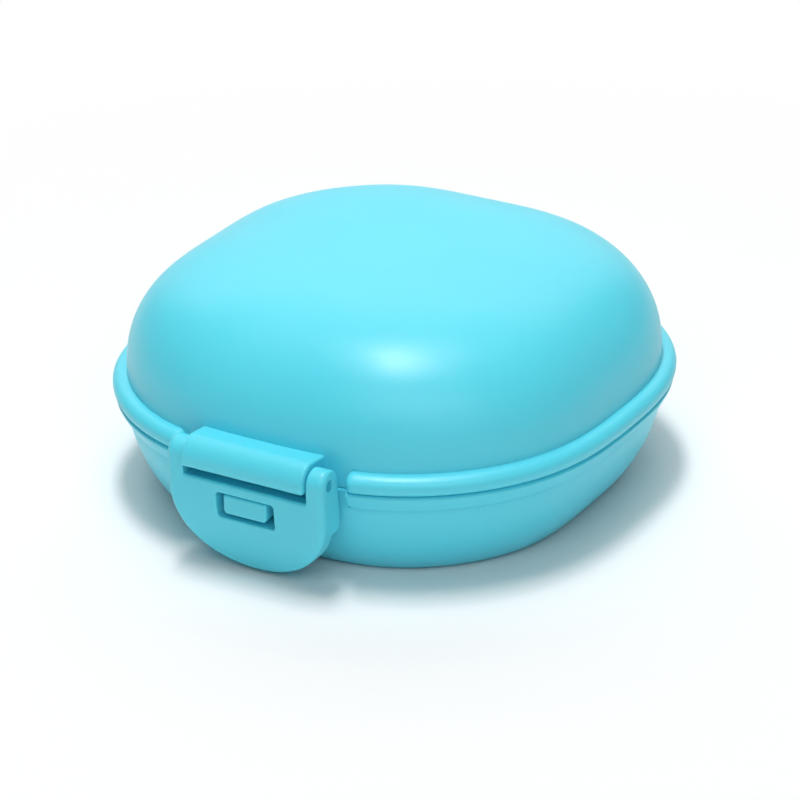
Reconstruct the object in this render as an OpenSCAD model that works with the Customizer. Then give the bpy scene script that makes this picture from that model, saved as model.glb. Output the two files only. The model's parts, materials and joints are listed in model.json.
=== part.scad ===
// Travel soap box: a moulded case, square with very round corners, with a domed lid on a rear pin hinge,
// a swinging front latch that closes over a catch, a sealing ring and a loose slotted tray.
// The box stands on z = 0, the latch faces -Y and the hinge is at +Y.

/* [Overall size] */
// Width of the closed box across its rim
body_w = 87; // [78:0.5:120]
// Depth of the closed box across its rim, front to back
body_d = 87; // [78:0.5:120]
// Height of the closed box
body_h = 40; // [35:0.5:60]
// Height of the joint between base and lid
seam_z = 16.85; // [16:0.05:20]
// Gap between the rims of base and lid
seam_gap = 0.3; // [0.2:0.05:0.5]

/* [Walls] */
// Thickness of the side walls and the crown
wall = 1.7; // [1.3:0.1:2]
// Thickness of the base's floor
floor_t = 1.8; // [1.2:0.1:2.4]

/* [Shape in plan] */
// Pull of the outline towards its four corners at the rim
rim_square = 0.03; // [0:0.001:0.04]
// Pull of the outline towards its four corners at the crown of the lid
crown_square = 0.043; // [0:0.001:0.05]
// Pull of the outline towards its four corners at the foot
foot_square = 0.037; // [0:0.001:0.05]

/* [Lid dome] */
// Fullness of the lid's shoulder, 2 for an ellipse
dome_shoulder = 3.8; // [2:0.1:5]
// Flatness of the lid's crown, 2 for an ellipse
dome_crown = 2.1; // [1.8:0.05:3]

/* [Base bowl] */
// How far the flat foot lies inside the rim
foot_in = 9.8; // [6:0.1:13]
// How far the bowl's wall lies inside the rim
bowl_in = 2.2; // [2:0.05:2.4]
// Fullness of the bowl's lower corner
bowl_full = 1.42; // [1.2:0.02:2]

/* [Rims] */
// How far the lid's bead stands out from its wall
bead_out = 2.3; // [1.8:0.05:2.6]
// Height of the lid's bead
bead_h = 3.1; // [2.6:0.05:3.4]
// How far the bead's lower edge lies inside its widest line
bead_under = 0.9; // [0.4:0.05:1.2]
// Height of the base's rim band
band_h = 2.8; // [2.2:0.05:3]
// How far the band's widest line lies inside the bead's
band_in = 0.3; // [0.2:0.05:0.8]
// How much the band leans in towards its lower edge
band_lean = 1.3; // [0.2:0.05:1.4]
// Width of the slope along the band's upper edge
band_slope = 0.65; // [0.2:0.05:1]

/* [Sealing lip and groove] */
// Thickness of the base's sealing lip
lip_t = 1; // [0.8:0.05:1.1]
// Height of the sealing lip above the band
lip_h = 2.3; // [1.8:0.05:2.6]
// Play between the lip and each side of the groove
lip_play = 0.4; // [0.3:0.05:0.5]
// Thickness of the lid's inner skirt
skirt_t = 1; // [0.8:0.05:1.4]
// How far the inner skirt stops above the lid's rim
skirt_up = 0.3; // [0.2:0.05:0.6]
// Thickness of the sealing ring
seal_t = 0.9; // [0.6:0.05:1.2]
// Gap between the sealing ring and the lip
seal_gap = 0.2; // [0.1:0.05:0.4]
// Play of the sealing ring in its groove
seal_play = 0.05; // [0.02:0.01:0.1]

/* [Latch] */
// Width of the latch across its ears
flap_w = 28.3; // [26:0.1:34]
// Thickness of the latch plate
flap_t = 3.2; // [2:0.1:3.4]
// Thickness of each ear
ear_t = 2.95; // [2.6:0.05:3.2]
// Radius of the ears' round heads
ear_r = 2.45; // [2.3:0.05:2.6]
// Rounding of the ears' outer front edges
ear_round = 0.9; // [0.4:0.05:1.2]
// Rounding of the ears' round heads
head_round = 0.5; // [0.2:0.05:0.9]
// How far the ears' backs lean towards the wall at their feet
ear_lean = 0.8; // [0:0.05:0.9]
// Play between each ear and the lug
ear_play = 0.35; // [0.2:0.05:0.5]
// Distance of the latch pin in front of the rim
pivot_out = 0.75; // [0.6:0.05:1.2]
// Height of the latch pin above the joint
pivot_up = 2.15; // [2:0.05:2.3]
// Radius of the lug's round front
lug_r = 3.3; // [3:0.05:3.4]
// Depth of the lug below the latch pin
lug_under = 1.2; // [1:0.05:1.6]
// Depth of the plate's upper edge below the latch pin
plate_under = 2.95; // [2.6:0.05:3.1]
// Play between the lug's round front and the plate as it swings
lug_play = 0.2; // [0.15:0.05:0.3]
// Height of the tab's tip above the table
tab_up = 0.75; // [0.3:0.05:1.5]
// Height of the tab's round end
tab_h = 12.6; // [11:0.1:14]
// Radius that the plate curves inwards on
bend_r = 40; // [30:1:60]
// Diameter of the latch pin
latch_pin_d = 1.8; // [1.4:0.1:2]
// How far the latch pin ends inside the ears' outer faces
latch_pin_in = 1.3; // [0.5:0.1:1.5]
// Gap between the latch and the ends of the bead
bead_end_gap = 1.45; // [1:0.05:2.5]
// Gap between the latch and the ends of the band
band_end_gap = 1.3; // [1:0.05:3]
// How far the base's wall lies inside the rim between the ends of the band
notch_in = 1.75; // [1.6:0.05:2]

/* [Catch] */
// Width of the catch
catch_w = 7.8; // [6:0.1:10]
// Height of the catch
catch_h = 3.2; // [2.8:0.05:3.4]
// Depth of the catch's top below the joint
catch_down = 2.7; // [2.6:0.05:2.8]
// Rounding of the catch's lower corners
catch_round = 0.8; // [0.2:0.05:1.2]
// Rise of the catch's underside from its front edge to the wall
catch_hook = 0.5; // [0:0.05:0.8]
// How far the catch's face lies behind the plate's upper edge
catch_set = 0.1; // [0.05:0.05:0.3]
// Play between the catch and each side of the window
window_side = 1.35; // [0.6:0.05:1.6]
// Play between the catch's top and the window
window_over = 0.25; // [0.1:0.05:0.3]
// Play between the catch's underside and the window
window_under = 1; // [0.5:0.05:1.2]
// Rounding of the window's corners
window_round = 0.6; // [0.2:0.05:0.9]

/* [Hinge] */
// Width across all three knuckles
hinge_w = 24; // [18:0.5:30]
// Share of the hinge's width that is the lid's knuckle
hinge_mid = 11.6; // [8:0.1:13]
// Radius of the knuckles
knuckle_r = 2.8; // [2.4:0.05:2.9]
// Distance of the hinge pin behind the rim
hinge_out = 3.3; // [3.2:0.05:4]
// Gap between neighbouring knuckles
knuckle_gap = 0.3; // [0.2:0.05:0.5]
// Depth of the brackets on the bowl under the hinge pin
bracket_h = 6.4; // [5:0.1:8]
// Diameter of the hinge pin
hinge_pin_d = 2; // [1.6:0.1:2.4]
// How far the hinge pin ends inside the outer knuckles
hinge_pin_in = 0.5; // [0:0.1:1]
// Running play of both pins in what turns on them
pin_play = 0.06; // [0.03:0.01:0.1]
// Play of both pins in what holds them
pin_hold = 0.02; // [0.01:0.01:0.03]

/* [Drain tray] */
// Height of the tray's upper face above the base's floor
tray_up = 6.2; // [5:0.1:8]
// Thickness of the tray
tray_t = 1.4; // [1:0.1:2]
// Gap between the tray and the bowl's wall
tray_gap = 0.8; // [0.5:0.1:1.5]
// Height of the tray's edge above its face
tray_edge_h = 1; // [0.6:0.1:2]
// Width of the tray's edge
tray_edge_t = 1.4; // [1:0.1:2]
// Width of the tray's slots
slot_w = 3; // [2:0.1:3.5]
// Distance from one slot to the next
slot_pitch = 7; // [5:0.5:10]
// Distance from the slots' ends to the tray's edge
slot_end = 6; // [4:0.5:10]
// Diameter of the finger hole
finger_d = 15; // [12:0.5:18]
// Width of the collar round the finger hole
collar_t = 2; // [1.2:0.1:3]
// Height of the ribs between the slots
rib_h = 1; // [0.5:0.1:1.5]
// Width of the ribs between the slots
rib_t = 1.4; // [1:0.1:2]
// Diameter of the tray's feet
foot_d = 3.6; // [2:0.1:3.8]
// Distance of each foot to the side of the middle
foot_x = 23; // [16:0.5:24]
// Slots between the middle and the rib that a foot stands under
foot_row = 2; // [1:1:2]
// Play under the tray's feet
foot_play = 0.05; // [0.02:0.01:0.1]

/* [Hidden] */
$fn = 48;

case_blue = [0.36, 0.80, 0.90];
seal_white = [0.93, 0.95, 0.95];
tray_blue = [0.55, 0.88, 0.95];
pin_steel = [0.72, 0.74, 0.76];

// Angles round the outline, and steps up a curved wall
sides = 64;
dome_step = 7.5;
bowl_step = 10;
past = 1;

// Heights of the rims
band_top = seam_z - seam_gap / 2;
band_low = band_top - band_h;
bead_low = seam_z + seam_gap / 2;
bead_top = bead_low + bead_h;
bowl_top = band_low - 0.3;
lip_top = band_top + lip_h;
groove_top = lip_top + seal_gap + seal_t + seal_play;

// Insets of the lip, the groove and the inner skirt from the rim's widest line
groove_out = bead_out + 1.05;
lip_out = groove_out + lip_play;
lip_in = lip_out + lip_t;
groove_in = lip_in + lip_play;
skirt_in = groove_in + skirt_t;

// Latch: the pin's place, the plate's front face and the catch
pivot_y = -body_d / 2 - pivot_out;
pivot_z = seam_z + pivot_up;
flap_y = pivot_y - ear_r;
plate_z = pivot_z - plate_under;
ear_in = flap_w / 2 - ear_t;
lug_w = 2 * (ear_in - ear_play);
tab_z = tab_up + tab_h;
catch_y = flap_y + catch_set;
catch_top = seam_z - catch_down;
catch_low = catch_top - catch_h;
ear_low = catch_low - 1.05;
ear_slope = 0.5;

// Hinge: the pin's place
hinge_y = body_d / 2 + hinge_out;
hinge_z = seam_z;

// Tray: its face and the bowl's inner wall beside it
tray_z = floor_t + tray_up;
tray_low = tray_z - tray_t;
tray_in = bowl_inset_at(tray_low) + wall + tray_gap;
slot_rows = floor((body_d / 2 - tray_in - slot_end) / slot_pitch);

// Outline in plan. A circle is pulled towards four corners by a wave of four, and a small wave of eight
// that goes with its square keeps the sides from hollowing.
function corner_pull(t, four) =
    let (eight = 4 * four * four)
    (1 - four * cos(4 * t) - eight * cos(8 * t)) / (1 - four - eight);

// Angle at which the rim is a given distance to the side of the front's middle
function side_angle(half) =
    let (first = asin(half / (body_w / 2)), r = body_w / 2 * corner_pull(first, rim_square))
    asin(half / r);

// Angles round the outline, with three more at each end of a gap in the rim at the front
end_step = 0.45;
function angles(gap) =
    let (ends = gap == 0 ? [] : [for (s = [-gap - 2 * end_step, -gap - end_step, -gap,
                                           gap, gap + end_step, gap + 2 * end_step]) 270 + s])
    [for (i = [0 : sides - 1])
        let (from = 360 * i / sides, to = 360 * (i + 1) / sides)
        each concat([from], [for (e = ends) if (e > from + 0.05 && e < to - 0.05) e])];

// Share of the rim's width that is left at an angle: none in the gap, all past its rounded ends
function rim_share(t, gap) =
    let (off = abs(t - 270) - gap)
    gap == 0 || off > 1.5 * end_step ? 1 : off > 0.5 * end_step ? 0.72 : 0;

// One ring of points. A level is [inset from the rim, scale, height, pull towards the corners].
function ring(level, gap, flush) =
    [for (t = angles(gap))
        let (inset = level[0] < flush ? flush - (flush - level[0]) * rim_share(t, gap) : level[0],
             k = level[1] * corner_pull(t, level[3]))
        [(body_w / 2 - inset) * k * cos(t), (body_d / 2 - inset) * k * sin(t), level[2]]];

function outline(inset) = [for (p = ring([inset, 1, 0, rim_square], 0, 0)) [p[0], p[1]]];

// Skin over rings that start and end on the middle line, from the pole "low" to the pole "high"
module lobed_shell(levels, low, high, gap, flush) {
    n = len(angles(gap));
    m = len(levels);
    points = concat([for (l = levels) each ring(l, gap, flush)], [[0, 0, low], [0, 0, high]]);
    walls = [for (j = [0 : m - 2], i = [0 : n - 1])
        let (a = j * n + i, b = j * n + (i + 1) % n)
        each [[a, a + n, b + n], [a, b + n, b]]];
    caps = [for (i = [0 : n - 1])
        let (k = (i + 1) % n)
        each [[m * n, i, k], [(m - 1) * n + i, m * n + 1, (m - 1) * n + k]]];
    polyhedron(points = points, faces = concat(walls, caps));
}

// Skin over rings that close on themselves, for a ring of constant section
module lobed_ring(levels) {
    n = sides;
    m = len(levels);
    points = [for (l = levels) each ring(l, 0, 0)];
    faces = [for (j = [0 : m - 1], i = [0 : n - 1])
        let (up = (j + 1) % m, k = (i + 1) % n, a = j * n + i, b = j * n + k, c = up * n + i, d = up * n + k)
        each [[a, c, d], [a, d, b]]];
    polyhedron(points = points, faces = faces);
}

// Upright prism of the outline, used to trim what is joined to a wall
module outline_prism(inset, z0, z1) {
    translate([0, 0, z0]) linear_extrude(z1 - z0) polygon(outline(inset));
}

// Shape drawn in Y and Z and extruded along X, centred
module along_x(width) {
    translate([-width / 2, 0, 0]) rotate([90, 0, 90]) linear_extrude(width) children();
}

// Shape drawn in X and Z and extruded along Y from y0 to y1
module along_y(y0, y1) {
    translate([0, y1, 0]) rotate([90, 0, 0]) linear_extrude(y1 - y0) children();
}

// Round bar along X at a given place
module bar(r, from, to, y, z) {
    translate([from, y, z]) rotate([0, 90, 0]) cylinder(r = r, h = to - from);
}

// Rectangle with rounded corners, from its lower left to its upper right corner
module round_box(p, q, r) {
    translate([p[0] + r, p[1]]) square([q[0] - p[0] - 2 * r, q[1] - p[1]]);
    translate([p[0], p[1] + r]) square([q[0] - p[0], q[1] - p[1] - 2 * r]);
    for (x = [p[0] + r, q[0] - r], y = [p[1] + r, q[1] - r]) translate([x, y]) circle(r);
}

// Bowl: its wall runs from the flat foot up to the rim band on a rounded curve
function bowl_share(a) = pow(cos(a), 2 / bowl_full);
function bowl_drop(a) = pow(sin(a), 2 / bowl_full);
function bowl_inset(a) = foot_in - (foot_in - bowl_in) * bowl_share(a);
function bowl_inset_at(z) =
    let (drop = 1 - z / bowl_top)
    foot_in - (foot_in - bowl_in) * pow(1 - pow(drop, bowl_full), 1 / bowl_full);
function bowl_pull(drop) = rim_square + (foot_square - rim_square) * drop;

function bowl_outside() = [for (a = [90 : -bowl_step : 0])
    [bowl_inset(a), 1, bowl_top * (1 - bowl_drop(a)), bowl_pull(bowl_drop(a))]];
function bowl_inside() = [for (a = [0 : bowl_step : 90])
    [bowl_inset(a) + wall, 1, floor_t + (bowl_top - floor_t) * (1 - bowl_drop(a)), bowl_pull(bowl_drop(a))]];

// Rim band and sealing lip, from the outside over the lip to the inside
function base_rim() =
    let (edge = 0.15, slope_h = 0.3)
    [for (p = [
        [band_in + band_lean + edge, band_low - edge],
        [band_in + band_lean, band_low],
        [band_in, band_top - slope_h],
        [band_in + band_slope, band_top],
        [lip_out, band_top],
        [lip_out, lip_top - edge],
        [lip_out + edge, lip_top],
        [lip_in - edge, lip_top],
        [lip_in, lip_top - edge],
        [lip_in, band_top - edge],
    ]) [p[0], 1, p[1], rim_square]];

// Catch that the latch closes over, with a hooked underside and rounded lower corners
module catch_block() {
    back = -body_d / 2 + bowl_in + wall;
    intersection() {
        along_x(catch_w) polygon([
            [catch_y, catch_low], [catch_y, catch_top], [back, catch_top],
            [back, catch_low + catch_hook]
        ]);
        along_y(catch_y - past, back + past)
            round_box([-catch_w / 2, catch_low], [catch_w / 2, catch_top + catch_round], catch_round);
    }
}

// Outer knuckle of the hinge on its bracket
module base_knuckle() {
    length = (hinge_w - hinge_mid) / 2 - knuckle_gap;
    translate([hinge_w / 2 - length / 2, 0, 0]) along_x(length) {
        translate([hinge_y, hinge_z]) circle(knuckle_r);
        polygon([
            [body_d / 2 - bowl_in - wall, band_top], [hinge_y, band_top],
            [hinge_y + knuckle_r * sin(20), hinge_z - knuckle_r * cos(20)],
            [body_d / 2 - bowl_in - wall, hinge_z - bracket_h]
        ]);
    }
}

module base_shell() {
    color(case_blue) difference() {
        union() {
            lobed_shell(concat(bowl_outside(), base_rim(), bowl_inside()), 0, floor_t,
                        side_angle(flap_w / 2 + band_end_gap), notch_in);
            difference() {
                union() {
                    catch_block();
                    base_knuckle();
                    mirror([1, 0, 0]) base_knuckle();
                }
                outline_prism(bowl_in + wall * 0.6, 0, body_h);
            }
        }
        bar(hinge_pin_d / 2 + pin_hold, -body_w / 2, body_w / 2, hinge_y, hinge_z);
    }
}

// Dome: its profile is an arch with a full shoulder and a nearly flat crown
function dome_levels(inset, top, from, step, to) = [for (a = [from : step : to])
    let (rise = pow(sin(a), 2 / dome_crown))
    [inset, pow(cos(a), 2 / dome_shoulder), bead_top + (top - bead_top) * rise,
     rim_square + (crown_square - rim_square) * rise]];

// Inner skirt, groove and bead, from the inside round to the outside
function lid_rim() =
    let (full = 1.4, shelf = groove_top + 0.5)
    [for (p = concat([
        [skirt_in, shelf],
        [skirt_in, bead_low + skirt_up],
        [groove_in, bead_low + skirt_up],
        [groove_in, groove_top],
        [groove_out, groove_top],
        [groove_out, bead_low],
    ], [for (a = [-90 : 22.5 : -22.5])
        [bead_under * (1 - cos(a)), bead_low + full * (1 + sin(a))]
    ], [for (a = [0 : 18 : 90])
        [bead_out * (1 - cos(a)), bead_low + full + (bead_h - full) * sin(a)]]))
        [p[0], 1, p[1], rim_square]];

// Lug that carries the latch: a round front about the pin, running back into the dome
module latch_lug() {
    back = -body_d / 2 + bead_out + wall;
    difference() {
        along_x(lug_w) difference() {
            union() {
                translate([pivot_y, pivot_z]) circle(lug_r);
                polygon([
                    [pivot_y, pivot_z], [pivot_y, pivot_z + lug_r],
                    [back, pivot_z + lug_r - 0.4], [back, pivot_z - lug_under]
                ]);
            }
            translate([pivot_y - 2 * lug_r, pivot_z - lug_under - 2 * lug_r]) square([4 * lug_r, 2 * lug_r]);
        }
        outline_prism(bead_out + 0.5, 0, body_h);
    }
}

// Middle knuckle of the hinge and the web that joins it to the bead
module lid_knuckle() {
    root = body_d / 2 - bead_out - 0.5;
    difference() {
        along_x(hinge_mid) {
            translate([hinge_y, hinge_z]) circle(knuckle_r);
            polygon([
                [root - past, bead_low], [hinge_y, bead_low],
                [hinge_y, hinge_z + knuckle_r], [root - past, bead_top + 1]
            ]);
        }
        outline_prism(bead_out + 0.5, 0, body_h);
    }
}

module lid_shell() {
    levels = concat(
        dome_levels(bead_out + wall, body_h - wall, 90 - dome_step, -dome_step, dome_step),
        lid_rim(),
        dome_levels(bead_out, body_h, dome_step, dome_step, 90 - dome_step));
    color(case_blue) difference() {
        union() {
            lobed_shell(levels, body_h - wall, body_h, side_angle(flap_w / 2 + bead_end_gap), bead_out);
            latch_lug();
            lid_knuckle();
        }
        bar(latch_pin_d / 2 + pin_hold, -body_w / 2, body_w / 2, pivot_y, pivot_z);
        bar(hinge_pin_d / 2 + pin_play, -body_w / 2, body_w / 2, hinge_y, hinge_z);
    }
}

module seal_ring() {
    low = groove_top - seal_play - seal_t;
    high = groove_top - seal_play;
    out = groove_out + seal_play;
    in = groove_in - seal_play;
    soft = 0.2;
    color(seal_white) lobed_ring([for (p = [
        [in - soft, low], [out + soft, low], [out, low + soft],
        [out, high], [in, high], [in, low + soft]
    ]) [p[0], 1, p[1], rim_square]]);
}

// Everything behind the front face of the latch, seen from the side: upright at the top, then curving in
module flap_side(behind) {
    translate([flap_y + bend_r, plate_z]) circle(bend_r - behind, $fn = 180);
    translate([flap_y + behind, plate_z]) square([bend_r, bend_r]);
}

// Front outline of the latch: straight sides and a round tab
module flap_front() {
    translate([0, tab_z]) scale([1, 2 * tab_h / flap_w]) circle(flap_w / 2, $fn = 96);
    translate([-flap_w / 2, tab_z]) square([flap_w, pivot_z + ear_r + past - tab_z]);
}

// Section of an ear with its outer front edge rounded, from its inner face to its outer face
module ear_section(depth) {
    square([ear_t - ear_round, depth]);
    translate([0, ear_round]) square([ear_t, depth - ear_round]);
    translate([ear_t - ear_round, ear_round]) circle(ear_round, $fn = 32);
}

// Ear: a round head about the pin, a post that leans back to the wall, and a slope to the plate at its foot
module ear() {
    back = flap_y + 2 * ear_r;
    intersection() {
        union() {
            translate([ear_in, pivot_y, pivot_z]) rotate([0, 90, 0]) rotate_extrude() {
                square([ear_r, ear_t - head_round]);
                square([ear_r - head_round, ear_t]);
                translate([ear_r - head_round, ear_t - head_round]) circle(head_round, $fn = 32);
            }
            translate([ear_in, flap_y, 0]) linear_extrude(pivot_z) ear_section(2 * ear_r + ear_lean);
        }
        along_x(2 * flap_w) polygon([
            [flap_y - past, 0], [flap_y + flap_t, 0], [flap_y + flap_t, ear_low - ear_slope],
            [back + ear_lean, ear_low], [back, pivot_z], [back, pivot_z + ear_r + past],
            [flap_y - past, pivot_z + ear_r + past]
        ]);
    }
}

module latch_flap() {
    color(case_blue) difference() {
        intersection() {
            union() {
                along_x(flap_w) intersection() {
                    difference() {
                        flap_side(0);
                        flap_side(flap_t);
                    }
                    translate([flap_y - past, 0]) square([bend_r, plate_z]);
                }
                ear();
                mirror([1, 0, 0]) ear();
            }
            along_y(flap_y - past, 0) flap_front();
            along_x(2 * flap_w) flap_side(0);
        }
        along_y(flap_y - past, flap_y + 2 * ear_r)
            round_box([-catch_w / 2 - window_side, catch_low - window_under],
                      [catch_w / 2 + window_side, catch_top + window_over], window_round);
        bar(lug_r + lug_play, -ear_in, ear_in, pivot_y, pivot_z);
        bar(latch_pin_d / 2 + pin_play, -flap_w, flap_w, pivot_y, pivot_z);
    }
}

module latch_pin() {
    half = flap_w / 2 - latch_pin_in;
    color(case_blue) bar(latch_pin_d / 2, -half, half, pivot_y, pivot_z);
}

module hinge_pin() {
    half = hinge_w / 2 - hinge_pin_in;
    color(pin_steel) bar(hinge_pin_d / 2, -half, half, hinge_y, hinge_z);
}

// Half length of a slot or rib at a distance from the tray's middle
function slot_half(y) =
    let (hw = body_w / 2 - tray_in - slot_end, hd = body_d / 2 - tray_in - slot_end)
    hw * sqrt(max(0, 1 - y * y / (hd * hd)));

// Parts of a row that the finger hole's collar leaves free, as [from, to] along X
function row_parts(y, end) =
    let (half = slot_half(y) - end, hole = finger_d / 2 + collar_t,
         near = abs(y) < hole + slot_w ? sqrt(pow(hole + slot_w, 2) - y * y) + end : 0)
    near == 0 ? [[-half, half]] : [[-half, -near], [near, half]];

module slot(from, to, y) {
    translate([from, y - slot_w / 2]) square([to - from, slot_w]);
    for (x = [from, to]) translate([x, y]) circle(slot_w / 2, $fn = 24);
}

module drain_tray() {
    sunk = 0.3;
    foot_y = (foot_row + 0.5) * slot_pitch;
    color(tray_blue) {
        difference() {
            outline_prism(tray_in, tray_low, tray_z + tray_edge_h);
            outline_prism(tray_in + tray_edge_t, tray_z, tray_z + tray_edge_h + past);
            translate([0, 0, tray_low - past]) linear_extrude(tray_t + 2 * past) {
                circle(finger_d / 2);
                for (i = [-slot_rows : slot_rows], p = row_parts(i * slot_pitch, slot_w / 2))
                    slot(p[0], p[1], i * slot_pitch);
            }
        }
        for (i = [-slot_rows : slot_rows - 1], p = row_parts((i + 0.5) * slot_pitch, 0))
            translate([p[0], (i + 0.5) * slot_pitch - rib_t / 2, tray_z - sunk])
                cube([p[1] - p[0], rib_t, rib_h + sunk]);
        translate([0, 0, tray_z - sunk]) difference() {
            cylinder(d = finger_d + 2 * collar_t, h = rib_h + sunk);
            translate([0, 0, -past]) cylinder(d = finger_d, h = rib_h + sunk + 2 * past);
        }
        for (x = [-foot_x, foot_x], y = [-foot_y, foot_y])
            translate([x, y, floor_t + foot_play])
                cylinder(d = foot_d, h = tray_low + sunk - floor_t - foot_play);
    }
}

base_shell();
lid_shell();
seal_ring();
latch_flap();
latch_pin();
hinge_pin();
drain_tray();
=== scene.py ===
"""Travel soap box: moulded shells, front latch, rear hinge, sealing ring and drain tray.

Shapes are worked out in millimetres, in the frame's own axes, and made into meshes in metres.
The two shells are skins of rings round the box's outline. The latch, the lug, the catch and the hinge
knuckles are fields: the distance to their surface, from which a mesh with true moulded radii is made.
"""

import json
import math

import bmesh
import bpy
import numpy as np
from mathutils import Matrix, Vector


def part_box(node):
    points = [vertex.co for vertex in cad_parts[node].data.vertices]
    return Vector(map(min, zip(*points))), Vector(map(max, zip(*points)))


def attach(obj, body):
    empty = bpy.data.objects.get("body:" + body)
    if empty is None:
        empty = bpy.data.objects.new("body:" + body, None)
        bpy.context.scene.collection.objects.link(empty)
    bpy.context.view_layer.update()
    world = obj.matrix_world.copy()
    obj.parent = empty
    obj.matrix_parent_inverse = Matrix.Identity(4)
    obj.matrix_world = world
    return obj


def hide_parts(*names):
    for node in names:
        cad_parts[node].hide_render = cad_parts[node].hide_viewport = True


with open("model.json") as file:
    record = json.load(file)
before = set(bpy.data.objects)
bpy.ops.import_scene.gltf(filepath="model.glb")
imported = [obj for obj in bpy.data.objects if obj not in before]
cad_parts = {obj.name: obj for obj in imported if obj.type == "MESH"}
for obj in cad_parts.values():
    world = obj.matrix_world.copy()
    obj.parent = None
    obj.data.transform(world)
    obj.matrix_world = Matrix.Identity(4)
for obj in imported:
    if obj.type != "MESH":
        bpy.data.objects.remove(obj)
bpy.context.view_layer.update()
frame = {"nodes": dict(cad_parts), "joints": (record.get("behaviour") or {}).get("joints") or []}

MM = 0.001
CREASE_ANGLE = 28


def joint_place(name):
    """Place of a hinge joint of the frame, in millimetres."""
    joint = next(j for j in frame["joints"] if j["name"] == name)
    return [v / MM for v in joint["pos_m"]]


def size_mm(node):
    low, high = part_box(node)
    return [(b - a) / MM for a, b in zip(low, high)]


# Driving sizes, from the frame
LID_LOW, LID_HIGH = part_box("lid_shell")
BODY_W = (LID_HIGH.x - LID_LOW.x) / MM
BODY_D = BODY_W + size_mm("seal_ring")[1] - size_mm("seal_ring")[0]
BODY_H = LID_HIGH.z / MM
HINGE_Y, SEAM_Z = joint_place("lid_hinge")[1:]
PIVOT_Y, PIVOT_Z = joint_place("latch_hinge")[1:]
FLAP_W = size_mm("latch_flap")[0]

# Walls and outline
WALL = 1.7
WALL_DEPTH = WALL * 0.6
FLOOR_T = 1.8
RIM_SQUARE, CROWN_SQUARE, FOOT_SQUARE = 0.03, 0.043, 0.037
DOME_SHOULDER, DOME_CROWN = 3.8, 2.1
FOOT_IN, BOWL_IN, BOWL_FULL = 9.8, 2.2, 1.42

# Rims
SEAM_GAP = 0.16
BEAD_OUT, BEAD_H, BEAD_FULL, BEAD_UNDER = 2.3, 3.1, 1.4, 0.9
BAND_H, BAND_IN, BAND_LEAN = 2.8, 0.3, 1.3
BAND_SLOPE, BAND_SLOPE_H = 0.65, 0.3
BAND_TOP = SEAM_Z - SEAM_GAP / 2
BAND_LOW = BAND_TOP - BAND_H
BEAD_LOW = SEAM_Z + SEAM_GAP / 2
BEAD_TOP = BEAD_LOW + BEAD_H
BOWL_TOP = BAND_LOW - 0.3

# Sealing lip, groove and ring
LIP_T, LIP_H, LIP_PLAY = 1.0, 2.3, 0.4
SKIRT_T, SKIRT_UP = 1.0, 0.3
SEAL_T, SEAL_GAP, SEAL_PLAY = 0.9, 0.2, 0.05
LIP_TOP = BAND_TOP + LIP_H
GROOVE_TOP = LIP_TOP + SEAL_GAP + SEAL_T + SEAL_PLAY
GROOVE_OUT = BEAD_OUT + 1.05
LIP_OUT = GROOVE_OUT + LIP_PLAY
LIP_IN = LIP_OUT + LIP_T
GROOVE_IN = LIP_IN + LIP_PLAY
SKIRT_IN = GROOVE_IN + SKIRT_T

# Latch
FLAP_T, EAR_T, EAR_R = 3.2, 2.95, 2.45
EAR_ROUND, EAR_BACK_ROUND, EAR_PLAY = 0.95, 0.45, 0.2
EAR_LEAN, EAR_SLOPE = 0.8, 0.5
EAR_FADE_FRONT, EAR_FADE_BACK = 1.2, 0.8
LUG_R, LUG_UNDER, LUG_PLAY, LUG_FALL = 3.3, 1.2, 0.2, 0.1
ROOT_DEPTH = 0.5
PLATE_UNDER, BEND_R = 2.95, 40.0
TAB_UP, TAB_H = 0.75, 12.6
LATCH_PIN_R = 0.9
BEAD_END_GAP, BAND_END_GAP = 1.45, 1.3
NOTCH_IN = 1.75
FLAP_Y = PIVOT_Y - EAR_R
PLATE_Z = PIVOT_Z - PLATE_UNDER
EAR_IN = FLAP_W / 2 - EAR_T
LUG_HALF = EAR_IN - EAR_PLAY
TAB_Z = TAB_UP + TAB_H

# Catch and the window that it stands in
CATCH_W, CATCH_H, CATCH_HOOK, CATCH_SET = 7.8, 3.2, 0.5, 0.1
CATCH_TOP = SEAM_Z - 2.7
CATCH_LOW = CATCH_TOP - CATCH_H
CATCH_Y = FLAP_Y + CATCH_SET
WINDOW_SIDE, WINDOW_OVER, WINDOW_UNDER, WINDOW_ROUND = 1.35, 0.25, 1.0, 0.6
EAR_LOW = CATCH_LOW - 1.05

# Hinge
HINGE_W, HINGE_MID, KNUCKLE_R, KNUCKLE_GAP = 24.0, 11.6, 2.8, 0.3
HINGE_Z, BRACKET_H, BRACKET_TURN = SEAM_Z, 6.4, 20
WEB_IN = 1.5
HINGE_PIN_R = 1.0
PIN_PLAY, PIN_HOLD = 0.06, 0.02

# Roundings of edges
RIM_ROUND, BAND_EDGE_ROUND, LIP_ROUND = 0.2, 0.35, 0.3
SKIRT_ROUND, SHELF_ROUND, GROOVE_ROUND = 0.3, 0.4, 0.15
SEAL_ROUND, SEAL_BACK_ROUND = 0.25, 0.15
TAB_ROUND, TAB_ROUND_LOW, TAB_ROUND_HIGH = 0.5, 3, 12
PLATE_TOP_ROUND, PLATE_BACK_ROUND, EAR_INNER_ROUND = 0.35, 0.15, 0.2
LUG_UNDER_ROUND, LUG_END_ROUND = 0.35, 0.4
CATCH_CORNER_ROUND, CATCH_EDGE_ROUND = 0.8, 0.35
KNUCKLE_END_ROUND, KNUCKLE_HOLE_ROUND, LATCH_HOLE_ROUND = 0.3, 0.15, 0.06
TRAY_ROUND, TRAY_EDGE_ANGLE = 0.2, 35

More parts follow.
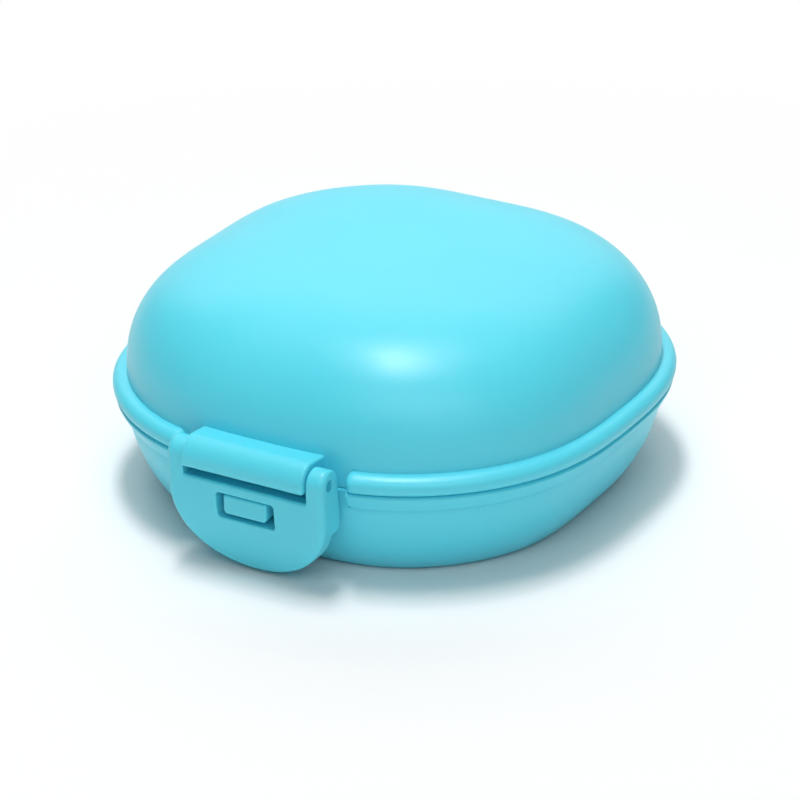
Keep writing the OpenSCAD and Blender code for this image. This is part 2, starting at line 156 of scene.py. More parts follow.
# Fields are meshed in cells of these sizes, with room round them, and end at these depths inside the walls
FINE_CELL, FLAP_CELL, COARSE_CELL = 0.16, 0.18, 0.2
ROOM, FLAP_ROOM = 1, 0.6
INSIDE, LUG_INSIDE = 38, 38.5
SURFACE_PASSES = 4


# Meshes

def smooth_faces(mesh):
    mesh.polygons.foreach_set("use_smooth", [True] * len(mesh.polygons))


def link_object(name, data):
    obj = bpy.data.objects.new(name, data)
    bpy.context.scene.collection.objects.link(obj)
    return obj


def new_object(name, verts, faces, material):
    """A smooth mesh object from points in millimetres and a list of faces."""
    mesh = bpy.data.meshes.new(name)
    mesh.from_pydata((verts * MM).tolist(), [], faces)
    mesh.validate()
    smooth_faces(mesh)
    mesh.materials.append(material)
    return link_object(name, mesh)


def select_only(obj):
    bpy.ops.object.select_all(action="DESELECT")
    obj.select_set(True)
    bpy.context.view_layer.objects.active = obj


def join_solids(main, others):
    """Unites overlapping solids into one skin and keeps their creases crisp."""
    for other in others:
        mod = main.modifiers.new("join", "BOOLEAN")
        mod.operation = "UNION"
        mod.solver = "MANIFOLD"
        mod.object = other
        select_only(main)
        bpy.ops.object.modifier_apply(modifier=mod.name)
        bpy.data.objects.remove(other)
    smooth_faces(main.data)
    main.data.set_sharp_from_angle(angle=math.radians(CREASE_ANGLE))


# Outline and shells

ANGLES_ROUND = 320
END_CORNER, END_REACH, END_HOLD = 1.2, 4, 1.3
BEAD_END_ROUND, BAND_END_ROUND = 0.9, 0.35
END_STEPS = (-0.4, -0.02, 0, 0.03, 0.08, 0.16, 0.28, 0.44, 0.66, 0.9, 1.3)
FRONT = 1.5 * math.pi


def fade(value, low, high):
    """Smooth step from 0 at low to 1 at high."""
    share = np.clip((value - low) / (high - low), 0, 1)
    return share * share * (3 - 2 * share)


def corner_pull(t, four):
    """The outline's radius as a share of its half width: a circle pulled towards four corners."""
    eight = 4 * four * four
    return (1 - four * np.cos(4 * t) - eight * np.cos(8 * t)) / (1 - four - eight)


def side_angle(half):
    """Angle off the front's middle at which the rim is a given distance to the side."""
    first = math.asin(half / (BODY_W / 2))
    return math.asin(half / (BODY_W / 2 * corner_pull(first, RIM_SQUARE)))


def corner_cut(z, start, way):
    """How far a rounded corner has drawn back at a height. It runs up (way 1) or down (-1) from start."""
    past = min(max((z - start) * way, 0), END_CORNER)
    return END_CORNER - math.sqrt(END_CORNER ** 2 - past ** 2)


class Notch:
    """Gap in a rim at the front, where the rim stands back between two rounded ends."""

    def __init__(self, half, end_round, corner_start, corner_way, flush):
        self.half = half
        self.end_round = end_round
        self.corner_start = corner_start
        self.corner_way = corner_way
        self.flush = flush


def outline_angles(notch):
    """Angles round the outline, closer together at the ends of the rim's gap at the front."""
    t = list(np.arange(ANGLES_ROUND) * 2 * math.pi / ANGLES_ROUND)
    if notch:
        for side in (-1, 1):
            for step in END_STEPS:
                t.append(FRONT + side * (side_angle(notch.half) + step / (BODY_W / 2)))
    return np.array(sorted(t))


def skin(levels, notch):
    """Rings of points for levels of [inset, scale, height, pull]. A notch cuts them back to flush."""
    base_t = outline_angles(notch)
    rings = []
    for inset, scale, z, four in levels:
        t = base_t
        cut = np.full(t.shape, float(inset))
        if notch and inset < notch.flush(z):
            off = t - FRONT
            end = side_angle(notch.half)
            drawn_back = corner_cut(z, notch.corner_start, notch.corner_way)
            end_here = side_angle(notch.half + drawn_back)
            near = fade(END_HOLD - np.abs(np.abs(off) - end) * BODY_W / 2 / END_REACH, 0, 1)
            off = off + np.sign(off) * (end_here - end) * near
            t = FRONT + off
            past_end = np.clip((np.abs(off) - end_here) * BODY_W / 2 / notch.end_round, 0, 1)
            lost = notch.end_round * (1 - np.sqrt(1 - (1 - past_end) ** 2))
            proud = np.maximum(notch.flush(z) - inset - lost, 0)
            proud = np.where(np.abs(off) < end_here - 1e-5, 0, proud)
            cut = notch.flush(z) - proud
        pull = corner_pull(t, four) * scale
        rings.append(np.stack([(BODY_W / 2 - cut) * pull * np.cos(t),
                               (BODY_D / 2 - cut) * pull * np.sin(t),
                               np.full(t.shape, float(z))], -1))
    return np.array(rings)


def ring_faces(m, n, closed):
    j, i = np.meshgrid(np.arange(m if closed else m - 1), np.arange(n), indexing="ij")
    k, up = (i + 1) % n, (j + 1) % m
    return np.stack([j * n + i, j * n + k, up * n + k, up * n + i], -1).reshape(-1, 4)


def shell(name, levels, low, high, notch, material):
    """A closed shell from the pole low, out and round its rim, to the pole high."""
    rings = skin(levels, notch)
    m, n = rings.shape[:2]
    verts = np.concatenate([rings.reshape(-1, 3), [[0, 0, low], [0, 0, high]]])
    faces = ring_faces(m, n, False).tolist()
    i = np.arange(n)
    k = (i + 1) % n
    faces += np.stack([k, i, np.full(n, m * n)], -1).tolist()
    faces += np.stack([(m - 1) * n + i, (m - 1) * n + k, np.full(n, m * n + 1)], -1).tolist()
    return new_object(name, verts, faces, material)


def rounded_path(points, steps=5):
    """A path through [inset, z, radius] corners, each rounded by an arc of its radius."""
    path = []
    for i, (x, z, r) in enumerate(points):
        here = np.array([x, z], float)
        if r == 0 or i in (0, len(points) - 1):
            path.append(here)
            continue
        before = np.array(points[i - 1][:2], float) - here
        after = np.array(points[i + 1][:2], float) - here
        before /= np.linalg.norm(before)
        after /= np.linalg.norm(after)
        half = math.acos(np.clip(before @ after, -1, 1)) / 2
        reach = r / math.tan(half)
        middle = here + (before + after) / np.linalg.norm(before + after) * r / math.sin(half)
        a, b = here + before * reach - middle, here + after * reach - middle
        for s in np.linspace(0, 1, steps + 1):
            turn = math.pi - 2 * half
            path.append(middle + (math.sin((1 - s) * turn) * a + math.sin(s * turn) * b) / math.sin(turn))
    return path


def dome_levels(inset, top, angles):
    levels = []
    for a in np.radians(angles):
        rise = math.sin(a) ** (2 / DOME_CROWN)
        levels.append([inset, math.cos(a) ** (2 / DOME_SHOULDER), BEAD_TOP + (top - BEAD_TOP) * rise,
                       RIM_SQUARE + (CROWN_SQUARE - RIM_SQUARE) * rise])
    return levels


def rim_levels(path):
    return [[x, 1, z, RIM_SQUARE] for x, z in path]


def bowl_levels(inset, low, angles):
    levels = []
    for a in np.radians(angles):
        share, drop = max(math.cos(a), 0) ** (2 / BOWL_FULL), math.sin(a) ** (2 / BOWL_FULL)
        wall_in = inset + FOOT_IN - (FOOT_IN - BOWL_IN) * share
        levels.append([wall_in, 1, low + (BOWL_TOP - low) * (1 - drop),
                       RIM_SQUARE + (FOOT_SQUARE - RIM_SQUARE) * drop])
    return levels


def make_base(material):
    """Bowl, rim band, sealing lip, catch and outer knuckles."""
    face_h = BAND_H - BAND_SLOPE_H
    rim = rounded_path([
        [BOWL_IN, BOWL_TOP, 0],
        [BAND_IN + BAND_LEAN, BAND_LOW, RIM_ROUND],
        *[[BAND_IN + BAND_LEAN * (1 - up), BAND_LOW + face_h * up, 0] for up in (0.25, 0.5, 0.75)],
        [BAND_IN, BAND_LOW + face_h, BAND_EDGE_ROUND],
        [BAND_IN + BAND_SLOPE, BAND_TOP, RIM_ROUND],
        [LIP_OUT, BAND_TOP, LIP_ROUND],
        [LIP_OUT, LIP_TOP, LIP_ROUND],
        [LIP_IN, LIP_TOP, LIP_ROUND],
        [LIP_IN, BAND_TOP - 0.5, 0],
    ])
    levels = (bowl_levels(0, 0, np.linspace(90, 0, 31)) + rim_levels(rim[1:])
              + bowl_levels(WALL, FLOOR_T, np.linspace(0, 90, 25)))
    notch = Notch(FLAP_W / 2 + BAND_END_GAP, BAND_END_ROUND, BAND_LOW - 0.1 + END_CORNER, -1,
                  lambda z: NOTCH_IN + (BOWL_IN - NOTCH_IN) * min(max((BAND_TOP - z) / BAND_H, 0), 1))
    base = shell("base_shell_skin", levels, 0, FLOOR_T, notch, material)
    half = CATCH_W / 2 + ROOM
    low, high = (-half, CATCH_Y - ROOM, CATCH_LOW - ROOM), (half, -INSIDE, CATCH_TOP + ROOM)
    parts = [field_mesh("catch", catch_field, low, high, FINE_CELL, material)]
    for side in (-1, 1):
        left, right = sorted((side * (HINGE_MID / 2 - ROOM), side * (HINGE_W / 2 + ROOM)))
        low = (left, INSIDE, HINGE_Z - BRACKET_H - ROOM)
        high = (right, HINGE_Y + KNUCKLE_R + ROOM, HINGE_Z + KNUCKLE_R + ROOM)
        parts.append(field_mesh("knuckle", base_knuckle_field, low, high, COARSE_CELL, material))
    join_solids(base, parts)
    return base


def make_lid(material):
    """Dome, bead, groove, inner skirt, latch lug and middle knuckle."""
    inner = dome_levels(BEAD_OUT + WALL, BODY_H - WALL, np.linspace(88, 7, 24))
    under = [[BEAD_UNDER * (1 - math.cos(a)), BEAD_LOW + BEAD_FULL * (1 - math.sin(a))]
             for a in np.radians(np.linspace(90, 9, 10))]
    bead = [[BEAD_OUT * (1 - math.cos(a)), BEAD_LOW + BEAD_FULL + (BEAD_H - BEAD_FULL) * math.sin(a)]
            for a in np.radians(np.linspace(0, 88, 16))]
    rim = rounded_path([
        [inner[-1][0], inner[-1][2], 0],
        [SKIRT_IN, GROOVE_TOP + 0.5, SHELF_ROUND],
        [SKIRT_IN, BEAD_LOW + SKIRT_UP, SKIRT_ROUND],
        [GROOVE_IN, BEAD_LOW + SKIRT_UP, SKIRT_ROUND],
        [GROOVE_IN, GROOVE_TOP, GROOVE_ROUND],
        [GROOVE_OUT, GROOVE_TOP, GROOVE_ROUND],
        [GROOVE_OUT, BEAD_LOW, RIM_ROUND],
        [BEAD_UNDER, BEAD_LOW, 0],
    ])
    levels = (inner + rim_levels(rim[1:-1]) + rim_levels(under + bead)
              + dome_levels(BEAD_OUT, BODY_H, np.linspace(1.5, 88.5, 59)))
    notch = Notch(FLAP_W / 2 + BEAD_END_GAP, BEAD_END_ROUND, BEAD_TOP - END_CORNER, 1, lambda z: BEAD_OUT)
    lid = shell("lid_shell_skin", levels, BODY_H - WALL, BODY_H, notch, material)
    low = (-LUG_HALF - ROOM, PIVOT_Y - LUG_R - ROOM, PIVOT_Z - LUG_UNDER - ROOM)
    high = (LUG_HALF + ROOM, -LUG_INSIDE, PIVOT_Z + LUG_R + 1.5 * ROOM)
    lug = field_mesh("lug", lug_field, low, high, COARSE_CELL, material)
    low = (-HINGE_MID / 2 - ROOM, INSIDE, HINGE_Z - KNUCKLE_R - ROOM)
    high = (HINGE_MID / 2 + ROOM, HINGE_Y + KNUCKLE_R + ROOM, BEAD_TOP + 2.5 * ROOM)
    knuckle = field_mesh("knuckle", lid_knuckle_field, low, high, COARSE_CELL, material)
    join_solids(lid, [lug, knuckle])
    return lid


def make_seal(material):
    """Sealing ring, a soft ring with rounded edges in the lid's groove."""
    out, inner = GROOVE_OUT + SEAL_PLAY, GROOVE_IN - SEAL_PLAY
    top = GROOVE_TOP - SEAL_PLAY
    low = top - SEAL_T
    corners = [[inner, low, SEAL_ROUND], [out, low, SEAL_ROUND],
               [out, top, SEAL_BACK_ROUND], [inner, top, SEAL_BACK_ROUND]]
    path = rounded_path(corners[-1:] + corners + corners[:1], 4)[1:-1]
    rings = skin([[x, 1, z, RIM_SQUARE] for x, z in path], None)
    m, n = rings.shape[:2]
    return new_object("seal_ring_skin", rings.reshape(-1, 3), ring_faces(m, n, True).tolist(), material)


# Fields: distance to a surface in millimetres, negative inside

def round_and(a, b, r):
    """What is inside both, with the edge between them rounded to radius r."""
    return np.minimum(np.maximum(a, b), -r) + np.hypot(np.maximum(a + r, 0), np.maximum(b + r, 0))


def outline_field(p, inset):
    """Distance to the upright wall of the outline at an inset, close enough near the wall."""
    t = np.arctan2(p[1], p[0])
    k = corner_pull(t, RIM_SQUARE)
    reach = np.hypot(p[0] / (BODY_W / 2 - inset), p[1] / (BODY_D / 2 - inset))
    return (reach - k) * (BODY_W / 2 - inset)


def flap_front_field(p):
    """Distance in front of the latch's face, which is upright at the top and curves in below."""
    curved = np.hypot(p[1] - (FLAP_Y + BEND_R), p[2] - PLATE_Z) - BEND_R
    return np.where(p[2] < PLATE_Z, curved, FLAP_Y - p[1])


def flap_edge_field(p):
    """Distance outside the latch's front outline: straight sides and a round tab."""
    tab = (np.hypot(p[0] / (FLAP_W / 2), (p[2] - TAB_Z) / TAB_H) - 1) * TAB_H
    return np.where(p[2] < TAB_Z, np.where(tab > -4, tab, -4), np.abs(p[0]) - FLAP_W / 2)


def window_field(p):
    half = CATCH_W / 2 + WINDOW_SIDE - WINDOW_ROUND
    low, high = CATCH_LOW - WINDOW_UNDER + WINDOW_ROUND, CATCH_TOP + WINDOW_OVER - WINDOW_ROUND
    dx = np.abs(p[0]) - half
    dz = np.abs(p[2] - (low + high) / 2) - (high - low) / 2
    return np.hypot(np.maximum(dx, 0), np.maximum(dz, 0)) + np.minimum(np.maximum(dx, dz), 0) - WINDOW_ROUND


def flap_field(p):
    """Latch: curved plate with a window, and two ears with round heads."""
    face, edge = flap_front_field(p), flap_edge_field(p)
    front_soft = TAB_ROUND + (EAR_ROUND - TAB_ROUND) * fade(p[2], TAB_ROUND_LOW, TAB_ROUND_HIGH)
    behind = -face - FLAP_T
    plate = round_and(face, edge, front_soft)
    plate = round_and(plate, behind, PLATE_BACK_ROUND)
    plate = round_and(plate, p[2] - PLATE_Z, PLATE_TOP_ROUND)
    about_pin = np.hypot(p[1] - PIVOT_Y, p[2] - PIVOT_Z)
    lean = EAR_LEAN / (PIVOT_Z - EAR_LOW)
    back = (p[1] - PIVOT_Y - EAR_R - lean * (PIVOT_Z - p[2])) / math.hypot(1, lean)
    side = np.where(p[2] > PIVOT_Z, about_pin - EAR_R, np.maximum(face, back))
    run, drop = 2 * EAR_R + EAR_LEAN - FLAP_T, EAR_SLOPE
    slope = ((p[1] - FLAP_Y - FLAP_T) * drop - (p[2] - EAR_LOW + EAR_SLOPE) * run) / math.hypot(run, drop)
    side = round_and(side, slope, EAR_INNER_ROUND)
    to_back = fade(p[1], PIVOT_Y - EAR_FADE_FRONT, PIVOT_Y + EAR_FADE_BACK)
    edge_soft = front_soft + (EAR_BACK_ROUND - front_soft) * to_back
    ear = round_and(side, edge, edge_soft)
    ear = round_and(ear, EAR_IN - np.abs(p[0]), EAR_INNER_ROUND)
    flap = np.minimum(plate, ear)
    flap = round_and(flap, -window_field(p), PLATE_BACK_ROUND)
    relief = np.maximum(about_pin - LUG_R - LUG_PLAY, np.abs(p[0]) - EAR_IN)
    flap = np.maximum(flap, -relief)
    return round_and(flap, LATCH_PIN_R + PIN_PLAY - about_pin, LATCH_HOLE_ROUND)


def lug_field(p):
    """Lug of the lid: round in front of the pin, flat on top back to the dome, flat below."""
    about_pin = np.hypot(p[1] - PIVOT_Y, p[2] - PIVOT_Z)
    top = p[2] - PIVOT_Z - LUG_R + LUG_FALL * (p[1] - PIVOT_Y)
    lug = np.where(p[1] < PIVOT_Y, about_pin - LUG_R, top)
    lug = round_and(lug, PIVOT_Z - LUG_UNDER - p[2], LUG_UNDER_ROUND)
    lug = round_and(lug, np.abs(p[0]) - LUG_HALF, LUG_END_ROUND)
    lug = np.maximum(lug, -outline_field(p, BEAD_OUT + ROOT_DEPTH))
    return np.maximum(lug, LATCH_PIN_R + PIN_HOLD - about_pin)


def catch_field(p):
    """Catch of the base: a block with a hooked underside and round lower corners."""
    back = -BODY_D / 2 + BOWL_IN + WALL
    rise = CATCH_HOOK / (back - CATCH_Y)
    under = CATCH_LOW + (p[1] - CATCH_Y) * rise - p[2]
    block = round_and(np.abs(p[0]) - CATCH_W / 2, under, CATCH_CORNER_ROUND)
    block = round_and(block, p[2] - CATCH_TOP, CATCH_EDGE_ROUND)
    block = round_and(block, CATCH_Y - p[1], CATCH_EDGE_ROUND)
    return np.maximum(block, -outline_field(p, BOWL_IN + WALL_DEPTH))


def base_knuckle_field(p):
    """Outer knuckles of the hinge, each on a bracket that runs down the bowl."""
    about_pin = np.hypot(p[1] - HINGE_Y, p[2] - HINGE_Z)
    root = BODY_D / 2 - BOWL_IN - WALL
    turn = math.radians(BRACKET_TURN)
    tip = np.array([HINGE_Y + KNUCKLE_R * math.sin(turn), HINGE_Z - KNUCKLE_R * math.cos(turn)])
    foot = np.array([root, HINGE_Z - BRACKET_H])
    along = (tip - foot) / np.linalg.norm(tip - foot)
    under = (p[1] - foot[0]) * along[1] - (p[2] - foot[1]) * along[0]
    bracket = np.maximum(np.maximum(under, p[2] - BAND_TOP), p[1] - tip[0])
    knuckle = np.minimum(about_pin - KNUCKLE_R, np.maximum(bracket, p[1] - HINGE_Y - KNUCKLE_R * 0.2))
    inner, outer = HINGE_MID / 2 + KNUCKLE_GAP, HINGE_W / 2
    ends = np.maximum(inner - np.abs(p[0]), np.abs(p[0]) - outer)
    knuckle = round_and(knuckle, ends, KNUCKLE_END_ROUND)
    knuckle = np.maximum(knuckle, -outline_field(p, BOWL_IN + WALL_DEPTH))
    return round_and(knuckle, HINGE_PIN_R + PIN_HOLD - about_pin, KNUCKLE_HOLE_ROUND)


def lid_knuckle_field(p):
    """Middle knuckle of the hinge and the web that joins it to the bead."""
    about_pin = np.hypot(p[1] - HINGE_Y, p[2] - HINGE_Z)
    slope = (KNUCKLE_R + HINGE_Z - BEAD_TOP - 1) / (HINGE_Y - (BODY_D / 2 - BEAD_OUT - WEB_IN))
    top = (p[2] - HINGE_Z - KNUCKLE_R - (p[1] - HINGE_Y) * slope) / math.hypot(1, slope)
    web = np.maximum(np.maximum(top, BEAD_LOW - p[2]), p[1] - HINGE_Y)
    knuckle = np.minimum(about_pin - KNUCKLE_R, web)
    knuckle = round_and(knuckle, np.abs(p[0]) - HINGE_MID / 2, KNUCKLE_END_ROUND)
    knuckle = np.maximum(knuckle, -outline_field(p, BEAD_OUT + ROOT_DEPTH))
    return round_and(knuckle, HINGE_PIN_R + PIN_PLAY - about_pin, KNUCKLE_HOLE_ROUND)


def field_mesh(name, field, low, high, cell, material):
    """Mesh of a field's zero surface: one point per crossed cell, then drawn onto the surface."""
    low, high = np.array(low, float), np.array(high, float)
    count = np.ceil((high - low) / cell).astype(int) + 1
    axes = [low[a] + np.arange(count[a]) * cell for a in range(3)]
    grid = np.stack(np.meshgrid(*axes, indexing="ij"))
    value = field(grid)
    inside = value < 0
    total = np.zeros((3,) + tuple(count - 1))
    hits = np.zeros(tuple(count - 1))
    for axis in range(3):
        a = [slice(None)] * 3
        b = [slice(None)] * 3
        a[axis], b[axis] = slice(0, -1), slice(1, None)
        va, vb = value[tuple(a)], value[tuple(b)]
        crossed = inside[tuple(a)] != inside[tuple(b)]
        share = np.where(crossed, va / np.where(crossed, va - vb, 1), 0)
        place = grid[(slice(None),) + tuple(a)].copy()
        place[axis] += share * cell
        others = [o for o in range(3) if o != axis]
        for da in (0, 1):
            for db in (0, 1):
                cut = [slice(None)] * 3
                cut[others[0]] = slice(da, count[others[0]] - 1 + da)
                cut[others[1]] = slice(db, count[others[1]] - 1 + db)
                hits += crossed[tuple(cut)]
                total += np.where(crossed[tuple(cut)], place[(slice(None),) + tuple(cut)], 0)
    used = hits > 0
    index = np.full(used.shape, -1)
    index[used] = np.arange(used.sum())
    points = (total[:, used] / hits[used]).T
    faces = []
    for axis in range(3):
        o1, o2 = (axis + 1) % 3, (axis + 2) % 3
        a = [slice(1, -1)] * 3
        b = [slice(1, -1)] * 3
        a[axis], b[axis] = slice(0, -1), slice(1, None)
        crossed = inside[tuple(a)] != inside[tuple(b)]
        where = np.argwhere(crossed)
        from_inside = inside[tuple(a)][crossed]
        cell_at = where + 1
        cell_at[:, axis] -= 1
        corners = []
        for d1, d2 in ((-1, -1), (0, -1), (0, 0), (-1, 0)):
            at = cell_at.copy()
            at[:, o1] += d1
            at[:, o2] += d2
            corners.append(index[at[:, 0], at[:, 1], at[:, 2]])
        quad = np.stack(corners, -1)
        quad[~from_inside] = quad[~from_inside][:, ::-1]
        faces.append(quad)
    faces = np.concatenate(faces)
    for _ in range(SURFACE_PASSES):
        slope, value_here = field_slope(field, points)
        points = points - np.clip(value_here, -cell, cell)[:, None] * slope
    return new_object(name, points, faces.tolist(), material)


def field_slope(field, points, step=0.01):
    """Way out from the surface per millimetre of distance, and the distance itself, at each point."""
    p = points.T
    steps = [d[:, None] for d in np.eye(3) * step]
    slope = np.stack([(field(p + d) - field(p - d)) / (2 * step) for d in steps], -1)
    size = np.linalg.norm(slope, axis=1)[:, None]
    return slope / np.maximum(size, 0.3) ** 2, field(p)


# Materials

SKY_LIGHT, SKY_DARK = (0.112, 0.74, 0.90), (0.107, 0.72, 0.88)
PALE_LIGHT, PALE_DARK = (0.30, 0.74, 0.86), (0.28, 0.71, 0.83)
MILK_LIGHT, MILK_DARK = (0.80, 0.83, 0.83), (0.74, 0.78, 0.79)
STEEL_LIGHT, STEEL_DARK = (0.56, 0.57, 0.59), (0.47, 0.48, 0.5)


def node_tree(name):
    """A new node material, its tree, its shader and the place on the object as a socket."""
    mat = bpy.data.materials.new(name)
    mat.use_nodes = True
    tree = mat.node_tree
    shader = tree.nodes["Principled BSDF"]
    place = tree.nodes.new("ShaderNodeTexCoord")
    return mat, tree, shader, place.outputs["Object"]


def noise_of(tree, place, grain_mm, detail=2.0, rough=0.5):
    noise = tree.nodes.new("ShaderNodeTexNoise")
    noise.inputs["Scale"].default_value = 1 / (grain_mm * MM)
    noise.inputs["Detail"].default_value = detail
    noise.inputs["Roughness"].default_value = rough
    tree.links.new(place, noise.inputs["Vector"])
    return noise.outputs["Fac"]


def remap(tree, value, low, high):
    node = tree.nodes.new("ShaderNodeMapRange")
    node.inputs["From Min"].default_value = 0.3
    node.inputs["From Max"].default_value = 0.7
    node.inputs["To Min"].default_value = low
    node.inputs["To Max"].default_value = high
    tree.links.new(value, node.inputs["Value"])
    return node.outputs["Result"]


def mix_colour(tree, factor, a, b):
    node = tree.nodes.new("ShaderNodeMix")
    node.data_type = "RGBA"
    node.inputs["A"].default_value = (*a, 1)
    node.inputs["B"].default_value = (*b, 1)
    tree.links.new(factor, node.inputs["Factor"])
    return node.outputs["Result"]


def add_bump(tree, shader, height, depth_mm, strength=1.0):
    bump = tree.nodes.new("ShaderNodeBump")
    bump.inputs["Strength"].default_value = strength
    bump.inputs["Distance"].default_value = depth_mm * MM
    tree.links.new(height, bump.inputs["Height"])
    tree.links.new(bump.outputs["Normal"], shader.inputs["Normal"])


def moulded_plastic(name, light, dark, rough_low, rough_high):
    """Satin polypropylene: soft cloudy colour, a fine moulded grain and a gloss that varies a little."""
    mat, tree, shader, place = node_tree(name)
    cloud = remap(tree, noise_of(tree, place, 30, 3), 0, 1)
    tree.links.new(mix_colour(tree, cloud, light, dark), shader.inputs["Base Color"])
    gloss = remap(tree, noise_of(tree, place, 9, 4), rough_low, rough_high)
    tree.links.new(gloss, shader.inputs["Roughness"])
    shader.inputs["IOR"].default_value = 1.49
    shader.inputs["Specular IOR Level"].default_value = 0.45
    shader.inputs["Subsurface Weight"].default_value = 0.12
    shader.inputs["Subsurface Radius"].default_value = (0.0008, 0.0016, 0.002)
    shader.inputs["Subsurface Scale"].default_value = 1.0
    add_bump(tree, shader, noise_of(tree, place, 0.35, 3, 0.6), 0.006, 0.5)
    return mat


def silicone(name):
    """Matt sealing silicone: milky, with a fine grain."""
    mat, tree, shader, place = node_tree(name)
    cloud = remap(tree, noise_of(tree, place, 6, 3), 0, 1)
    milky = mix_colour(tree, cloud, MILK_LIGHT, MILK_DARK)
    tree.links.new(milky, shader.inputs["Base Color"])
    tree.links.new(remap(tree, noise_of(tree, place, 3, 3), 0.5, 0.62), shader.inputs["Roughness"])
    shader.inputs["Subsurface Weight"].default_value = 0.3
    shader.inputs["Subsurface Radius"].default_value = (0.002, 0.002, 0.002)
    shader.inputs["Subsurface Scale"].default_value = 1.0
    add_bump(tree, shader, noise_of(tree, place, 0.25, 3), 0.008, 0.5)
    return mat


def drawn_steel(name):
    """Drawn wire: fine streaks along its length, in colour, gloss and surface."""
    mat, tree, shader, place = node_tree(name)
    stretch = tree.nodes.new("ShaderNodeMapping")
    stretch.inputs["Scale"].default_value = (0.04, 1, 1)
    tree.links.new(place, stretch.inputs["Vector"])
    streak = noise_of(tree, stretch.outputs["Vector"], 0.2, 3)
    tree.links.new(mix_colour(tree, remap(tree, streak, 0, 1), STEEL_LIGHT, STEEL_DARK),
                   shader.inputs["Base Color"])
    tree.links.new(remap(tree, streak, 0.22, 0.38), shader.inputs["Roughness"])
    shader.inputs["Metallic"].default_value = 1.0
    add_bump(tree, shader, streak, 0.004, 0.5)
    return mat


case_plastic = moulded_plastic("case_plastic", SKY_LIGHT, SKY_DARK, 0.33, 0.38)
tray_plastic = moulded_plastic("tray_plastic", PALE_LIGHT, PALE_DARK, 0.42, 0.5)
seal_silicone = silicone("seal_silicone")
pin_steel = drawn_steel("pin_steel")


# Pieces on their bodies

def place_piece(obj, body, node):
    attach(obj, body)
    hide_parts(node)


def make_tray(material):
    """Drain tray: the frame's own tray with its edges rounded."""
    source = frame["nodes"]["drain_tray"]
    mesh = source.data.copy()
    mesh.name = "drain_tray_skin"
    bm = bmesh.new()
    bm.from_mesh(mesh)
    bmesh.ops.remove_doubles(bm, verts=bm.verts, dist=0.001 * MM)
    bmesh.ops.dissolve_limit(bm, angle_limit=math.radians(0.6), verts=bm.verts, edges=bm.edges)
    bm.to_mesh(mesh)
    bm.free()
    smooth_faces(mesh)
    mesh.materials.clear()
    mesh.materials.append(material)
    obj = link_object("drain_tray_skin", mesh)
    bevel = obj.modifiers.new("round", "BEVEL")
    bevel.width = TRAY_ROUND * MM
    bevel.segments = 2
    bevel.limit_method = "ANGLE"
    bevel.angle_limit = math.radians(TRAY_EDGE_ANGLE)
    obj.modifiers.new("even", "WEIGHTED_NORMAL")
    return obj


def make_flap(material):
    """Latch plate with its ears, window and finger tab."""
    low = (-FLAP_W / 2 - FLAP_ROOM, FLAP_Y - FLAP_ROOM, TAB_UP - FLAP_ROOM)
    high = (FLAP_W / 2 + FLAP_ROOM, FLAP_Y + 7.5, PIVOT_Z + EAR_R + FLAP_ROOM)
    return field_mesh("latch_flap_skin", flap_field, low, high, FLAP_CELL, material)


place_piece(make_base(case_plastic), "base", "base_shell")
place_piece(make_lid(case_plastic), "lid", "lid_shell")
place_piece(make_seal(seal_silicone), "lid", "seal_ring")
place_piece(make_flap(case_plastic), "latch", "latch_flap")
place_piece(make_tray(tray_plastic), "tray", "drain_tray")

for pin, finish in (("latch_pin", case_plastic), ("hinge_pin", pin_steel)):
    node = frame["nodes"][pin]
    node.data.materials.clear()
    node.data.materials.append(finish)


# Camera, lights and floor

CAMERA_AT = (303.40, -515.74, 294.59)
CAMERA_AIM = (1.729, -1.640, 13.098)
CAMERA_ROLL = -0.643
LENS_MM = 182.0
WORLD_FILL = 0.04
WORLD_GLOSS = 0.25
FLOOR_HALF = 3.0
FLOOR_SHADE, FLOOR_WHITE = 0.085, 0.21

# Name, way to the camera's right, way nearer to it, height, size and watts
SOFTBOXES = (
    ("key", -0.045, 0, 0.85, (0.35, 0.12), 3.5),
    ("key_spread", -0.045, 0, 0.85, (0.6, 0.6), 2.1),
    ("high_back", 0, -0.95, 0.95, (1.8, 0.5), 3.3),
    ("low_back", 0, -1.3, 0.5, (1.8, 0.9), 3.6),
    ("high_front", 0, 1.0, 1.0, (1.4, 0.7), 5.3),
    ("low_front", 0.45, 1.25, 0.6, (1.2, 0.8), 1.4),
)


def add_camera():
    data = bpy.data.cameras.new("camera")
    data.lens = LENS_MM
    data.sensor_width = 36
    data.clip_start = 0.05
    data.clip_end = 20
    cam = link_object("camera", data)
    eye, aim = Vector(CAMERA_AT) * MM, Vector(CAMERA_AIM) * MM
    turn = (aim - eye).to_track_quat("-Z", "Y").to_matrix().to_4x4()
    cam.matrix_world = Matrix.Translation(eye) @ turn @ Matrix.Rotation(math.radians(CAMERA_ROLL), 4, "Z")
    bpy.context.scene.camera = cam


def add_softbox(name, right, near, height, size, power):
    """A soft light that hangs a way to the camera's right, nearer the camera and up, and faces the box."""
    ahead = Vector(CAMERA_AT[:2] + (0,)).normalized()
    place = Vector((-ahead.y, ahead.x, 0)) * right + ahead * near + Vector((0, 0, height))
    data = bpy.data.lights.new(name, "AREA")
    data.shape = "RECTANGLE"
    data.size, data.size_y = size
    data.energy = power
    lamp = link_object(name, data)
    turn = (Vector((0, 0, 0.02)) - place).to_track_quat("-Z", "Y").to_matrix().to_4x4()
    lamp.matrix_world = Matrix.Translation(place) @ turn


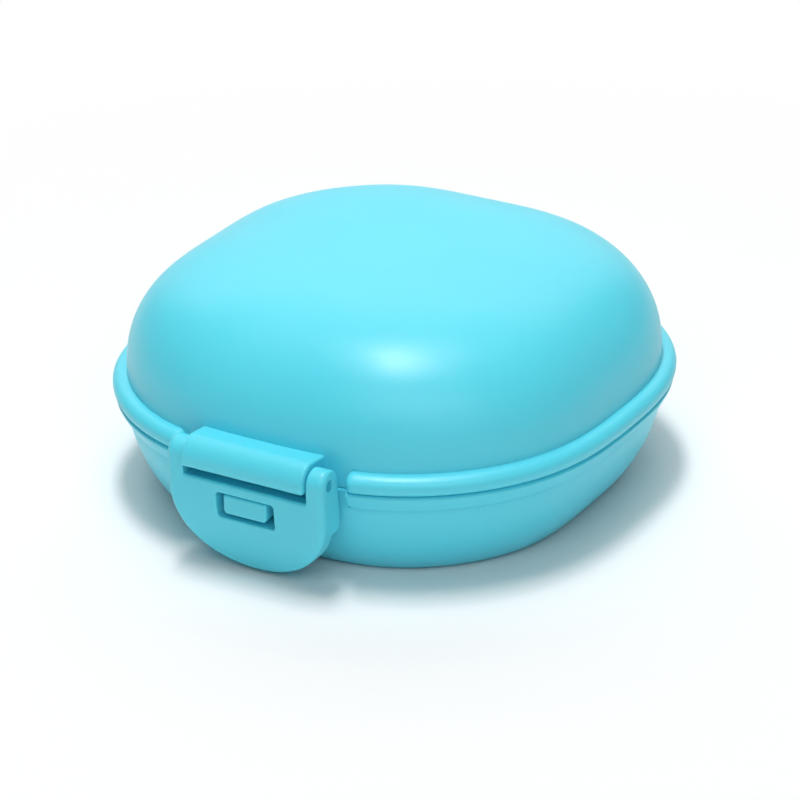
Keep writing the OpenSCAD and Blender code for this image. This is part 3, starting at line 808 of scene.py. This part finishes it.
def add_world():
    """A dim studio: white to the camera, and in gloss a paler wall than it gives in light."""
    world = bpy.data.worlds.new("studio")
    bpy.context.scene.world = world
    world.use_nodes = True
    tree = world.node_tree
    back = tree.nodes["Background"]
    back.inputs["Color"].default_value = (1, 1, 1, 1)
    rays = tree.nodes.new("ShaderNodeLightPath")
    gloss = tree.nodes.new("ShaderNodeMapRange")
    gloss.inputs["To Min"].default_value = WORLD_FILL
    gloss.inputs["To Max"].default_value = WORLD_GLOSS
    tree.links.new(rays.outputs["Is Glossy Ray"], gloss.inputs["Value"])
    level = tree.nodes.new("ShaderNodeMapRange")
    level.inputs["To Max"].default_value = 1.0
    tree.links.new(rays.outputs["Is Camera Ray"], level.inputs["Value"])
    tree.links.new(gloss.outputs["Result"], level.inputs["To Min"])
    tree.links.new(level.outputs["Result"], back.inputs["Strength"])


def add_floor():
    """Pale floor that keeps the box's shadow and, further out, is plain white to the camera."""
    mesh = bpy.data.meshes.new("floor")
    corners = [(x * FLOOR_HALF, y * FLOOR_HALF, 0) for x, y in ((-1, -1), (1, -1), (1, 1), (-1, 1))]
    mesh.from_pydata(corners, [], [(0, 1, 2, 3)])
    floor = link_object("floor", mesh)
    mat, tree, shader, place = node_tree("floor")
    shader.inputs["Base Color"].default_value = (0.93, 0.93, 0.93, 1)
    shader.inputs["Roughness"].default_value = 0.8
    away = tree.nodes.new("ShaderNodeVectorMath")
    away.operation = "LENGTH"
    tree.links.new(place, away.inputs[0])
    share = tree.nodes.new("ShaderNodeMapRange")
    share.interpolation_type = "SMOOTHSTEP"
    share.inputs["From Min"].default_value = FLOOR_SHADE
    share.inputs["From Max"].default_value = FLOOR_WHITE
    tree.links.new(away.outputs["Value"], share.inputs["Value"])
    rays = tree.nodes.new("ShaderNodeLightPath")
    seen = tree.nodes.new("ShaderNodeMath")
    seen.operation = "MULTIPLY"
    tree.links.new(share.outputs["Result"], seen.inputs[0])
    tree.links.new(rays.outputs["Is Camera Ray"], seen.inputs[1])
    white = tree.nodes.new("ShaderNodeEmission")
    both = tree.nodes.new("ShaderNodeMixShader")
    tree.links.new(seen.outputs["Value"], both.inputs[0])
    tree.links.new(shader.outputs["BSDF"], both.inputs[1])
    tree.links.new(white.outputs["Emission"], both.inputs[2])
    tree.links.new(both.outputs["Shader"], tree.nodes["Material Output"].inputs["Surface"])
    mesh.materials.append(mat)


add_camera()
add_world()
add_floor()
for softbox in SOFTBOXES:
    add_softbox(*softbox)

bpy.context.scene.view_settings.view_transform = "Standard"
